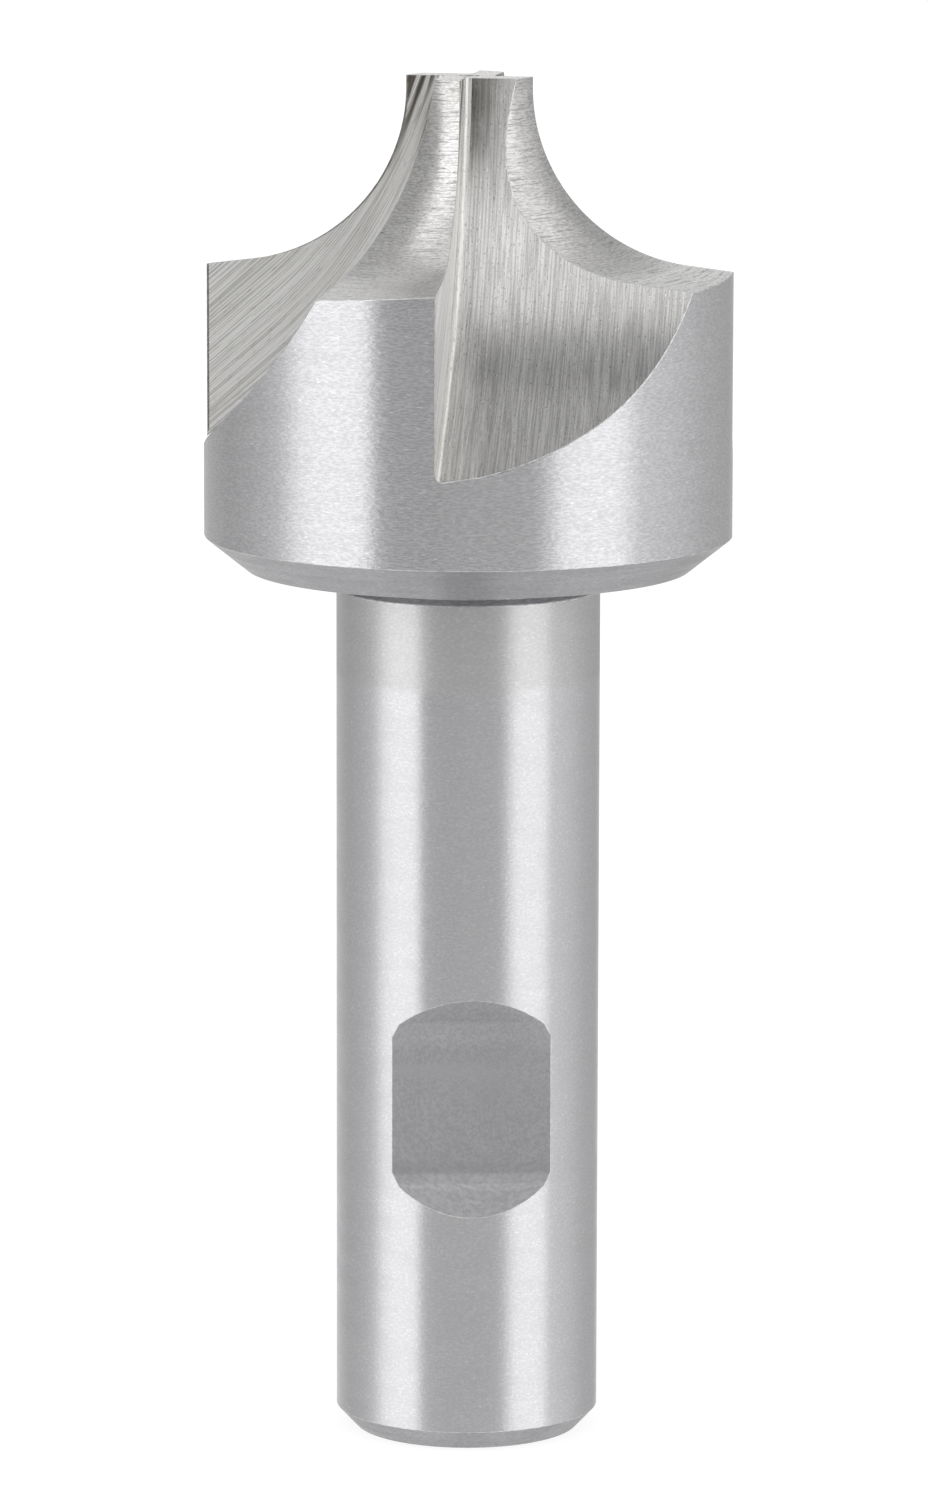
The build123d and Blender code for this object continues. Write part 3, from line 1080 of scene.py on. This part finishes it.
class MILL_OT_stage(Operator):
    """Makes the pale floor and the soft studio light round the tool"""

    bl_idname = "mill.make_stage"
    bl_label = "Floor and studio light"

    def execute(self, context):
        studio = context.scene.mill_studio
        size = studio.floor_size
        corners = [(-size, -size, 0), (size, -size, 0), (size, size, 0), (-size, size, 0)]
        mesh = bpy.data.meshes.new("floor")
        mesh.from_pydata(corners, [], [(0, 1, 2, 3)])
        floor = put(context, "floor", mesh)
        floor.visible_glossy = False
        floor.visible_shadow = False
        paper = bpy.data.materials.new("white_studio_paper")
        tree = empty_tree(paper)
        matt = add(tree, "BsdfDiffuse", {"Color": (*studio.paper, 1.0)})
        seen = add(tree, "LightPath").outputs["Is Camera Ray"]
        share = add(tree, "Math", {"operation": "MULTIPLY", 0: seen, 1: studio.glow})
        glow = add(tree, "Emission", {"Strength": share})
        both = add(tree, "AddShader", {0: matt, 1: glow})
        add(tree, "OutputMaterial", {"Surface": both})
        mesh.materials.append(paper)
        self.surround(context, studio)
        return {"FINISHED"}

    def surround(self, context, studio):
        """World: white for the camera, and for the metal a grey surround with a soft box on each side."""
        world = bpy.data.worlds.new("studio")
        context.scene.world = world
        tree = empty_tree(world)
        way = add(tree, "TexCoord").outputs["Generated"]
        way = add(tree, "VectorRotate", {"rotation_type": "Z_AXIS", "Vector": way, "Angle": -studio.turn})
        x, y, z = add(tree, "SeparateXYZ", {0: way}).outputs
        ahead = add(tree, "Math", {"operation": "MULTIPLY", 0: y, 1: -1.0})
        around = add(tree, "Math", {"operation": "ARCTAN2", 0: x, 1: ahead})
        around = add(tree, "MapRange", {0: around, 1: -pi, 2: pi})
        up = add(tree, "Math", {"operation": "ARCSINE", 0: z})

        rings = []
        for stops in LIGHTS:
            ring = add(tree, "ValToRGB", {0: around})
            points = ring.color_ramp.elements
            while len(points) < len(stops):
                points.new(0.5)
            for point, (degrees, level) in zip(points, stops):
                point.position = degrees / 360 + 0.5
                point.color = (level / FULL_LEVEL, level / FULL_LEVEL, level / FULL_LEVEL, 1)
            rings.append(ring)
        level = rings[0]
        for (start, end), ring in zip(BLENDS, rings[1:]):
            rise = {"interpolation_type": "SMOOTHSTEP", 0: up, 1: radians(start), 2: radians(end)}
            share = add(tree, "MapRange", rise)
            level = add(tree, "Mix", {"data_type": "RGBA", 0: share, 6: level, 7: ring}).outputs[2]
        light = add(tree, "Background", {"Color": level, "Strength": FULL_LEVEL})
        white = add(tree, "Background", {"Strength": 1.0})
        rays = add(tree, "LightPath").outputs
        sums = {"operation": "ADD", 0: rays["Is Glossy Ray"], 1: rays["Is Transmission Ray"]}
        mirrored = add(tree, "Math", sums)
        behind = add(tree, "Math", {"operation": "PINGPONG", 0: around, 1: 0.5})
        fade = {"interpolation_type": "SMOOTHSTEP", 0: behind, 1: BEHIND_END / 360, 2: BEHIND_START / 360}
        behind = add(tree, "MapRange", fade)
        sums = {"operation": "MULTIPLY_ADD", 0: mirrored, 1: behind, 2: rays["Is Camera Ray"]}
        seen = add(tree, "Math", sums)
        shader = add(tree, "MixShader", {0: seen, 1: light, 2: white})
        add(tree, "OutputWorld", {"Surface": shader})


class MILL_OT_end_mill(Operator):
    """Builds the end mill as one closed mesh with a finish for each of its surfaces"""

    bl_idname = "mill.make_end_mill"
    bl_label = "End mill"

    def execute(self, context):
        form = Form(context.scene.mill_sizes)
        shell = Shell()
        side_turns = head_patches(shell, form)
        lower_patches(shell, form, side_turns)
        mesh = shell.build("ground_end_mill")
        made = finishes(context.scene.mill_colours)
        for finish in FINISHES:
            mesh.materials.append(made[finish])
        close_mesh(mesh)
        piece = put(context, "ground_end_mill", mesh)
        bevel = piece.modifiers.new("broken edges", "BEVEL")
        bevel.limit_method = "WEIGHT"
        bevel.offset_type = "WIDTH"
        bevel.width = context.scene.mill_sizes.edge_break
        bevel.segments = BREAK_FACES
        bevel.use_clamp_overlap = False
        bevel.harden_normals = True
        bevel.material = FINISHES.index("edge")
        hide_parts("end_mill")
        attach(piece, "root")
        return {"FINISHED"}


class MILL_PT_panel(Panel):
    """Lists the pieces of the end mill scene"""

    bl_idname = "MILL_PT_panel"
    bl_label = "End mill"
    bl_space_type = "VIEW_3D"
    bl_region_type = "UI"
    bl_category = "End mill"

    def draw(self, context):
        for operator in OPERATORS:
            self.layout.operator(operator.bl_idname)
        for group in (context.scene.mill_sizes, context.scene.mill_colours, context.scene.mill_studio):
            box = self.layout.box()
            for name in type(group).__annotations__:
                box.prop(group, name)


GROUPS = {"mill_sizes": MillSizes, "mill_colours": SteelColours, "mill_studio": StudioSettings}
OPERATORS = (MILL_OT_camera, MILL_OT_stage, MILL_OT_end_mill)


def register():
    for item in (*GROUPS.values(), *OPERATORS, MILL_PT_panel):
        bpy.utils.register_class(item)
    for name, group in GROUPS.items():
        setattr(bpy.types.Scene, name, PointerProperty(type=group))


def unregister():
    for name in GROUPS:
        delattr(bpy.types.Scene, name)
    for item in reversed((*GROUPS.values(), *OPERATORS, MILL_PT_panel)):
        bpy.utils.unregister_class(item)


def main():
    register()
    bpy.context.scene.view_settings.view_transform = "Standard"
    bpy.ops.mill.make_camera()
    bpy.ops.mill.make_stage()
    bpy.ops.mill.make_end_mill()


if __name__ == "__main__":
    main()
